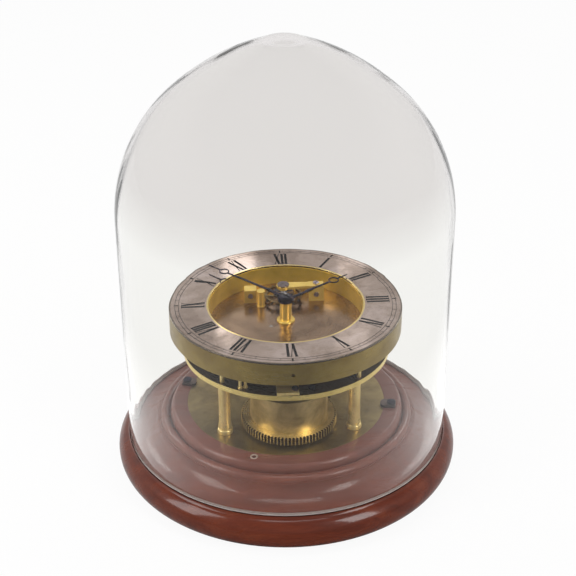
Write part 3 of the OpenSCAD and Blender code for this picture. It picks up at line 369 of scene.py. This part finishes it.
FINISH_OF_NODE = {
    # Painted shade: the middle plate's flat faces are darker than its edge
    "middle_plate": brass("brass_painted_dark_faces", (0.96, 0.75, 0.28), (0.74, 0.54, 0.17), (0.24, 0.36),
                          60, (2500, 1, 2500), metal=0.7, face_shade=(0.10, 0.065, 0.03)),
    "drum_wall": brass("drum_brass", (0.39, 0.28, 0.080), (0.24, 0.16, 0.045), (0.26, 0.38), 38,
                       (1, 1, 5000), metal=0.8),
    "well_wall_ring": brass("well_wall_brass", (0.76, 0.53, 0.07), (0.50, 0.33, 0.03), (0.42, 0.52),
                            30, (1, 1, 5000), metal=0.65),
    "top_plate": brass("well_floor_brass", (0.44, 0.30, 0.20), (0.27, 0.18, 0.125), (0.20, 0.30), 42,
                       (5000, 1, 1)),
    # Painted shade: the wheel's teeth darken towards their roots
    "great_wheel": brass("wheel_brass", (0.90, 0.70, 0.32), (0.50, 0.37, 0.15), (0.24, 0.38), 70,
                         (2500, 1, 3500), BARREL_CENTRE, 0.8, gullet_shade=(0.0303, 0.0308)),
    "balance_wheel": brass("dark_balance_brass", (0.30, 0.21, 0.08), (0.12, 0.08, 0.035), (0.18, 0.34),
                           200, (2500, 1, 2500)),
    "cock_cap": steel("cap_steel", (0.28, 0.23, 0.235), (0.17, 0.14, 0.145), (0.14, 0.26)),
    "block_screws": steel("lilac_steel", (0.60, 0.54, 0.60), (0.36, 0.31, 0.37), (0.12, 0.26)),
    "hold_down_dogs": steel("brown_steel", (0.17, 0.125, 0.115), (0.085, 0.060, 0.055), (0.28, 0.42)),
    "barrel": BARREL_BRASS, "barrel_cover": BARREL_BRASS,
    "hand_collet": DARK_STEEL, "timing_screws": DARK_STEEL,
    "centre_post": GOLDEN, "balance_cock": GOLDEN, "cock_blocks": GOLDEN, "side_post": GOLDEN,
}


# Making pieces

SHARP_DEG = 32
MERGE_WITHIN = 1e-6
UPRIGHT = (0, 0, 1)
ORIGIN = (0, 0, 0)


def piece_from(name, bm, sharp_deg=SHARP_DEG):
    """An object from a finished bmesh, smooth but for edges sharper than the angle"""
    mesh = bpy.data.meshes.new(name)
    bm.to_mesh(mesh)
    bm.free()
    mesh.shade_smooth()
    mesh.set_sharp_from_angle(angle=math.radians(sharp_deg))
    made = bpy.data.objects.new(name, mesh)
    bpy.context.scene.collection.objects.link(made)
    return made


def dress(piece, finish, body, replaced=()):
    """Gives a piece its finish and the body that it rides on"""
    piece.data.materials.clear()
    piece.data.materials.append(finish)
    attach(piece, body)
    if replaced:
        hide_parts(*replaced)


def break_edges(piece, width):
    """Rounds the sharp edges a little, as on any filed or turned part"""
    edge = piece.modifiers.new("edges", "BEVEL")
    edge.width = width
    edge.segments = 2
    edge.limit_method = "ANGLE"
    edge.angle_limit = math.radians(SHARP_DEG)
    edge.harden_normals = True
    edge.use_clamp_overlap = True


def from_cad(node, width):
    """A part as the frame has it, merged and with its edges broken"""
    bm = bmesh.new()
    bm.from_mesh(nodes[node].data)
    bmesh.ops.remove_doubles(bm, verts=bm.verts, dist=2 * MERGE_WITHIN)
    bmesh.ops.dissolve_limit(bm, angle_limit=math.radians(0.4), verts=bm.verts, edges=bm.edges)
    made = piece_from(node + "_finished", bm)
    if width:
        break_edges(made, width)
    slot = slot_of_node[node]
    dress(made, FINISH_OF_NODE.get(node) or FINISH[slot], body_of_node[node], [node])


def spin_round(bm, outline, steps):
    """Spins an outline of points and edges once round the upright axis and closes the seam"""
    bmesh.ops.spin(bm, geom=outline, axis=UPRIGHT, cent=ORIGIN, angle=math.tau, steps=steps,
                   use_merge=True)
    bmesh.ops.remove_doubles(bm, verts=bm.verts, dist=MERGE_WITHIN)
    bmesh.ops.recalc_face_normals(bm, faces=bm.faces)


def turned(name, profile, steps, sharp_deg=SHARP_DEG):
    """A closed outline of radius and height in millimetres, spun round the clock's axis"""
    bm = bmesh.new()
    points = [bm.verts.new((r * MM, 0, z * MM)) for r, z in profile]
    edges = [bm.edges.new((a, b)) for a, b in zip(points, points[1:] + points[:1])
             if a.co.x > 0 or b.co.x > 0]
    spin_round(bm, points + edges, steps)
    return piece_from(name, bm, sharp_deg)


def polar(r, deg):
    return r * math.cos(math.radians(deg)), r * math.sin(math.radians(deg))


def arc(centre, rx, rz, start, end, steps):
    """Points of an elliptical arc in millimetres, angles in degrees"""
    return [(centre[0] + rx * math.cos(math.radians(a)), centre[1] + rz * math.sin(math.radians(a)))
            for a in (start + (end - start) * i / steps for i in range(steps + 1))]


# Glass dome, in millimetres and degrees

DOME_R, DOME_WALL, SEAT_Z = 105.0, 3.0, 24.0
SHOULDER_Z = SEAT_Z + 155.5
SHOULDER_ARC, FLANK_ARC = 101.0, 164.0
SHOULDER_DEG, FLANK_DEG, TOP_DEG = 47.6, 71.0, 90
ARC_GAP_DEG = 2
BUTTON_R, BUTTON_H, BUTTON_EDGE = 13.4, 0.9, 0.35
FOOT_ROUND = 1.2
WALL_RINGS = (30, 60, 90, 120)
DOME_STEPS, DOME_SHARP_DEG = 160, 60


def crown(wall):
    """Outline of the crown from the shoulder to the axis, wall millimetres in from the outside"""
    start = (DOME_R - SHOULDER_ARC, 0)
    dx, dz = polar(SHOULDER_ARC - FLANK_ARC, SHOULDER_DEG)
    flank = (start[0] + dx, start[1] + dz)
    jx, jz = polar(FLANK_ARC, FLANK_DEG)
    join = (flank[0] + jx, flank[1] + jz)
    cap_r = join[0] / math.cos(math.radians(FLANK_DEG))
    cap = (0, join[1] - cap_r * math.sin(math.radians(FLANK_DEG)))
    shoulder_r, flank_r, top_r = SHOULDER_ARC - wall, FLANK_ARC - wall, cap_r - wall
    points = arc(start, shoulder_r, shoulder_r, 0, SHOULDER_DEG, 16)
    points += arc(flank, flank_r, flank_r, SHOULDER_DEG + ARC_GAP_DEG, FLANK_DEG, 10)
    points += arc(cap, top_r, top_r, FLANK_DEG + ARC_GAP_DEG, TOP_DEG, 10)
    return [(r if r > 1e-6 else 0.0, z + SHOULDER_Z) for r, z in points]


def button_swell(r):
    """Extra height of the outer surface near the axis: the button that the blowing left"""
    share = max(0.0, 1 - (r / BUTTON_R) ** 2)
    return BUTTON_H * share ** BUTTON_EDGE if share else 0.0


outer = [(r, z + button_swell(r)) for r, z in crown(0)]
inner = crown(DOME_WALL)
rim = arc((DOME_R - DOME_WALL / 2, SEAT_Z + FOOT_ROUND), DOME_WALL / 2, FOOT_ROUND, 180, 360, 8)
walls = [(DOME_R, SEAT_Z + h) for h in WALL_RINGS]
inner_walls = [(DOME_R - DOME_WALL, z) for r, z in reversed(walls)]
dome = turned("glass_dome_blown", rim + walls + outer + inner[::-1] + inner_walls, DOME_STEPS,
              DOME_SHARP_DEG)
dress(dome, FINISH["clear_glass"], "dome", ["glass_dome"])


# Dial: numerals, minute track and five-minute marks, engraved and filled with wax, in millimetres

DIAL_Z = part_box("dial_ring")[1].z / MM
FOOT_R, HEAD_R = 52.2, 67.0
INK_T, INK_LIFT = 0.06, 0.01
THICK, THIN = 1.65, 0.55
SERIF_T, SERIF_OVER = 0.32, 0.6
LETTER = {
    "I": (THICK, [(0, 0, THICK)]),
    "V": (3.9, [(0.1, -1.45, THICK), (0.1, 1.7, THIN)]),
    "X": (3.7, [(1.3, -1.3, THICK), (-1.5, 1.5, THIN)]),
}
HOURS = ["XII", "I", "II", "III", "IV", "V", "VI", "VII", "VIII", "IX", "X", "XI"]
HOUR_DEG, MINUTE_DEG = 30, 6
GAP, GAP_IN = 0.8, {"III": 1.3, "VIII": 0.5}
TRACK_IN, TRACK_OUT, LINE_W = 69.0, 71.4, 0.3
CROSS_IN, CROSS_OUT, CROSS_W, CROSS_LEAN = TRACK_IN + 0.5, TRACK_OUT + 0.7, 0.75, 0.3
CIRCLE_SINK, CIRCLE_STEPS = 0.02, 180


def ink_bar(bm, foot, head, low, high, width, turn):
    """A sloping bar from radius low to high: foot and head are its sideways places there"""
    shape = Matrix(((width, head - foot, 0, (head + foot) / 2), (0, high - low, 0, (high + low) / 2),
                    (0, 0, INK_T, DIAL_Z + INK_LIFT), (0, 0, 0, 1)))
    place = Matrix.Rotation(math.radians(-turn), 4, "Z") @ Matrix.Scale(MM, 4) @ shape
    bmesh.ops.create_cube(bm, size=1, matrix=place)


numeral_ink = bmesh.new()
for hour, word in enumerate(HOURS):
    gap = GAP_IN.get(word, GAP)
    left = -(sum(LETTER[c][0] for c in word) + gap * (len(word) - 1)) / 2
    for c in word:
        width, strokes = LETTER[c]
        middle = left + width / 2
        for foot, head, w in strokes:
            ink_bar(numeral_ink, middle + foot, middle + head, FOOT_R, HEAD_R, w, hour * HOUR_DEG)
            for x, r in ((foot, FOOT_R), (head, HEAD_R)):
                ink_bar(numeral_ink, middle + x, middle + x, r - SERIF_T / 2, r + SERIF_T / 2,
                        w + SERIF_OVER, hour * HOUR_DEG)
        left += width + gap
dress(piece_from("dial_numerals", numeral_ink), WAX, "clock_frame")

track_ink = bmesh.new()
for minute in range(60):
    ink_bar(track_ink, 0, 0, TRACK_IN, TRACK_OUT, LINE_W, minute * MINUTE_DEG)
    if minute % 5 == 0:
        for side in (-CROSS_LEAN, CROSS_LEAN):
            ink_bar(track_ink, -side, side, CROSS_IN, CROSS_OUT, CROSS_W, minute * MINUTE_DEG)
dress(piece_from("minute_marks", track_ink), WAX, "clock_frame")
circle_low, circle_high = DIAL_Z - CIRCLE_SINK, DIAL_Z + INK_T / 2 + INK_LIFT
for name, r in (("inner", TRACK_IN), ("outer", TRACK_OUT)):
    line_in, line_out = r - LINE_W / 2, r + LINE_W / 2
    circle = turned("minute_circle_" + name, [(line_in, circle_low), (line_out, circle_low),
                                             (line_out, circle_high), (line_in, circle_high)],
                    CIRCLE_STEPS)
    dress(circle, WAX, "clock_frame")


# Pale lip round the spare screw hole in the wood, outside the base plate's edge

LIP_R, LIP_TUBE_R = 0.0020, 0.0005
HOLE_BEARING = math.radians(250)
HOLE_FROM_PLATE_MM = 4.4
plate_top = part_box("base_plate")[1]
hole_r = (plate_top.x / MM + HOLE_FROM_PLATE_MM) * MM

hole_ring = bmesh.new()
bmesh.ops.create_circle(hole_ring, segments=12, radius=LIP_TUBE_R)
bmesh.ops.rotate(hole_ring, verts=hole_ring.verts, matrix=Matrix.Rotation(math.pi / 2, 3, "X"))
bmesh.ops.translate(hole_ring, verts=hole_ring.verts, vec=(LIP_R, 0, 0))
spin_round(hole_ring, hole_ring.verts[:] + hole_ring.edges[:], 40)
bmesh.ops.translate(hole_ring, verts=hole_ring.verts,
                    vec=(hole_r * math.cos(HOLE_BEARING), hole_r * math.sin(HOLE_BEARING), plate_top.z))
dress(piece_from("spare_hole_lip", hole_ring), PALE_HOLE_LIP, body_of_node["wood_base"])


# Everything else keeps the frame's shape, with its edges broken by these widths in metres

EDGE_WIDTH = 0.00015
EDGE_WIDTH_OF = {"wood_base": 0, "base_pad": 0.0003, "dial_ring": 0.00018, "drum_wall": 0.00018,
                 "hairspring": 0, "mainspring": 0, "timing_screws": 0.0001, "pallet_stones": 0.00005,
                 "balance_staff": 0.00008, "great_wheel": 0.00012, "cock_cap": 0.0001}
for node in sorted(nodes):
    if node != "glass_dome":
        from_cad(node, EDGE_WIDTH_OF.get(node, EDGE_WIDTH))


# Studio: a white floor that keeps a soft shadow, a graded sky, five soft lamps, four small boards
# that the dial mirrors and two cards that the foot of the glass mirrors

FLOOR_R, FLOOR_DROP, FLOOR_WHITENESS = 6.0, 0.0002, 0.93
FLOOR_FADE_FROM, FLOOR_FADE_TO, FLOOR_FADED = 0.3, 0.8, 0.25
LAMP_AIM_Z = 0.12
BOARD_AWAY = 2.1
CARD_WIDTH, CARD_DEPTH, CARD_BRIGHTNESS = 0.20, 0.42, 0.95
CARD_OUT, CARD_Y, CARD_Z = 0.155, -0.05, 0.0005


def plainly_seen(tree, path):
    """One where the camera sees a thing directly or through glass"""
    return calc(tree, "MAXIMUM", path["Is Camera Ray"], path["Is Transmission Ray"])


def floor_material():
    """White to the camera; to mirrors it's dark in front of the clock and light behind it"""
    made, tree, shader = material("studio_floor", Roughness=0.9, Base_Color=(0.86, 0.86, 0.85))
    path = add(tree, "LightPath").outputs
    plain_view = plainly_seen(tree, path)
    seen = calc(tree, "MAXIMUM", plain_view, path["Is Glossy Ray"])
    share = calc(tree, "MULTIPLY", seen, FLOOR_WHITENESS)
    heading = add(tree, "VectorMath", {0: space(tree)}, operation="NORMALIZE").outputs["Vector"]
    backward = part_of(tree, heading, 1)
    mirrored = ramp(tree, span(tree, backward, -1, 1, 0, 1), (0.0, grey(0.06)), (0.12, grey(0.32)),
                    (0.42, grey(0.6)), (0.8, grey(0.85)))
    distance = length_of(tree, space(tree))
    far = span(tree, distance, FLOOR_FADE_FROM, FLOOR_FADE_TO, 1.0, FLOOR_FADED)
    fading = mix(tree, span(tree, backward, -0.1, 0.3, 0, 1), far, grey(1))
    mirrored = mix(tree, 1.0, mirrored, fading, "MULTIPLY")
    strength = calc(tree, "MAXIMUM", plain_view, mirrored)
    white = add(tree, "Emission", {"Color": (1, 1, 1), "Strength": strength}).outputs[0]
    show(tree, mix_shaders(tree, share, shader.outputs[0], white))
    return made


floor_bm = bmesh.new()
bmesh.ops.create_circle(floor_bm, cap_ends=True, segments=96, radius=FLOOR_R)
studio_floor = piece_from("studio_floor", floor_bm)
studio_floor.location.z = -FLOOR_DROP
studio_floor.data.materials.append(floor_material())

world = bpy.data.worlds.new("studio")
bpy.context.scene.world = world
world.use_nodes = True
sky = world.node_tree
sky.nodes.clear()
sky_at = add(sky, "SeparateXYZ", {0: add(sky, "TexCoord").outputs["Generated"]}).outputs
room = ramp(sky, sky_at[2], (0.0, (0.16, 0.155, 0.15)), (0.2, (0.34, 0.33, 0.325)),
            (0.5, (0.34, 0.33, 0.325)), (0.75, (0.22, 0.21, 0.22)), (1.0, (0.24, 0.23, 0.24)))
backdrop = ramp(sky, sky_at[2], (0.0, (0.62, 0.61, 0.60)), (0.2, (0.66, 0.65, 0.64)),
                (0.38, (0.74, 0.72, 0.70)), (0.55, (0.64, 0.62, 0.61)), (0.74, (0.25, 0.24, 0.25)),
                (1.0, (0.24, 0.23, 0.24)))
graded = mix(sky, span(sky, sky_at[1], -0.5, 0.2, 0, 1), room, backdrop)
lit = add(sky, "Background", {"Color": graded, "Strength": 1.0}).outputs[0]
plain = add(sky, "Background", {"Color": (1, 1, 1), "Strength": 1.0}).outputs[0]
straight_on = plainly_seen(sky, add(sky, "LightPath").outputs)
sky_out = add(sky, "OutputWorld")
sky.links.new(mix_shaders(sky, straight_on, lit, plain), sky_out.inputs["Surface"])

only_glass = bpy.data.collections.new("only_glass")
only_glass.objects.link(dome)
all_but_glass = bpy.data.collections.new("all_but_glass")
for piece in bpy.context.scene.objects:
    if piece.type == "MESH" and piece != dome:
        all_but_glass.objects.link(piece)


def area_lamp(name, width, depth, power, lights):
    """A rectangular lamp that only the pieces in a collection receive and the camera can't see"""
    lamp = bpy.data.objects.new(name, bpy.data.lights.new(name, "AREA"))
    lamp.data.shape = "RECTANGLE"
    lamp.data.size, lamp.data.size_y = width, depth
    lamp.data.energy = power
    bpy.context.scene.collection.objects.link(lamp)
    lamp.visible_camera = False
    lamp.light_linking.receiver_collection = lights
    return lamp


def power_of(width, depth, brightness):
    """Watts at which a lamp of this size looks as bright as the given white"""
    return math.pi * width * depth * brightness


def soft_lamp(name, azimuth, elevation, distance, width, depth, power):
    """A soft box that faces the clock; azimuth is counted from the front towards the right. Its own
    shape doesn't show in the glass, as in a light tent"""
    a, e = math.radians(azimuth), math.radians(elevation)
    back = Vector((math.sin(a) * math.cos(e), -math.cos(a) * math.cos(e), math.sin(e)))
    lamp = area_lamp(name, width, depth, power, all_but_glass)
    lamp.rotation_mode = "QUATERNION"
    lamp.rotation_quaternion = back.to_track_quat("Z", "Y")
    lamp.location = Vector((0, 0, LAMP_AIM_Z)) + back * distance


def dial_panel(name, left, top, right, bottom, brightness):
    """A small bright board behind the clock, seen in the dial inside the given window of the picture:
    the camera is mirrored in the dial's plane, and the board faces that mirrored camera"""
    right_axis, up_axis, back_axis = (Vector((x, y, -z)) for x, y, z in CAMERA_AXES.col)
    per_pixel = SENSOR_MM / FOCAL_MM / PICTURE_SIDE
    across = ((left + right) / 2 - PICTURE_SIDE / 2) * per_pixel
    upward = (PICTURE_SIDE / 2 - (top + bottom) / 2) * per_pixel
    below = Vector((CAMERA_AT[0], CAMERA_AT[1], 2 * DIAL_Z * MM - CAMERA_AT[2]))
    ray = right_axis * across + up_axis * upward - back_axis
    width = (right - left) * per_pixel * BOARD_AWAY
    depth = (bottom - top) * per_pixel * BOARD_AWAY
    board = area_lamp(name, width, depth, power_of(width, depth, brightness), all_but_glass)
    x_axis = right_axis.normalized()
    z_axis = (-back_axis).normalized()
    turn = Matrix((x_axis, z_axis.cross(x_axis), z_axis)).transposed().to_4x4()
    board.matrix_world = Matrix.Translation(below + ray * BOARD_AWAY) @ turn


def glass_card(name, side):
    """A pale card on the table beside the dome, soft towards its edges, which only the glass mirrors"""
    power = power_of(CARD_WIDTH, CARD_DEPTH, CARD_BRIGHTNESS)
    card = area_lamp(name, CARD_WIDTH, CARD_DEPTH, power, only_glass)
    card.data.use_nodes = True
    tree = card.data.node_tree
    place = add(tree, "SeparateXYZ", {0: add(tree, "NewGeometry").outputs["Parametric"]}).outputs
    hump = [calc(tree, "SINE", calc(tree, "MULTIPLY", place[i], math.pi)) for i in (0, 1)]
    feed(tree, tree.nodes["Emission"].inputs["Strength"], calc(tree, "MULTIPLY", *hump))
    card.location = (side * CARD_OUT, CARD_Y, CARD_Z)
    card.rotation_euler = (math.pi, 0, 0)
    card.visible_transmission = False


soft_lamp("left_box", -72, 33, 1.5, 0.6, 1.1, 10)
soft_lamp("right_box", 46, 34, 1.6, 0.5, 0.9, 10)
soft_lamp("back_left_box", -140, 34, 1.7, 0.5, 0.5, 3.5)
soft_lamp("back_right_box", 145, 34, 1.7, 0.5, 0.5, 3)
soft_lamp("top_box", 10, 84, 1.5, 0.7, 0.5, 4)
dial_panel("board_at_eleven", 219, 240, 254, 282, 1.5)
dial_panel("board_at_one", 340, 240, 368, 280, 0.7)
dial_panel("board_at_five", 338, 320, 374, 352, 0.3)
dial_panel("board_at_seven", 212, 320, 236, 340, 1.4)
glass_card("left_card", -1)
glass_card("right_card", 1)
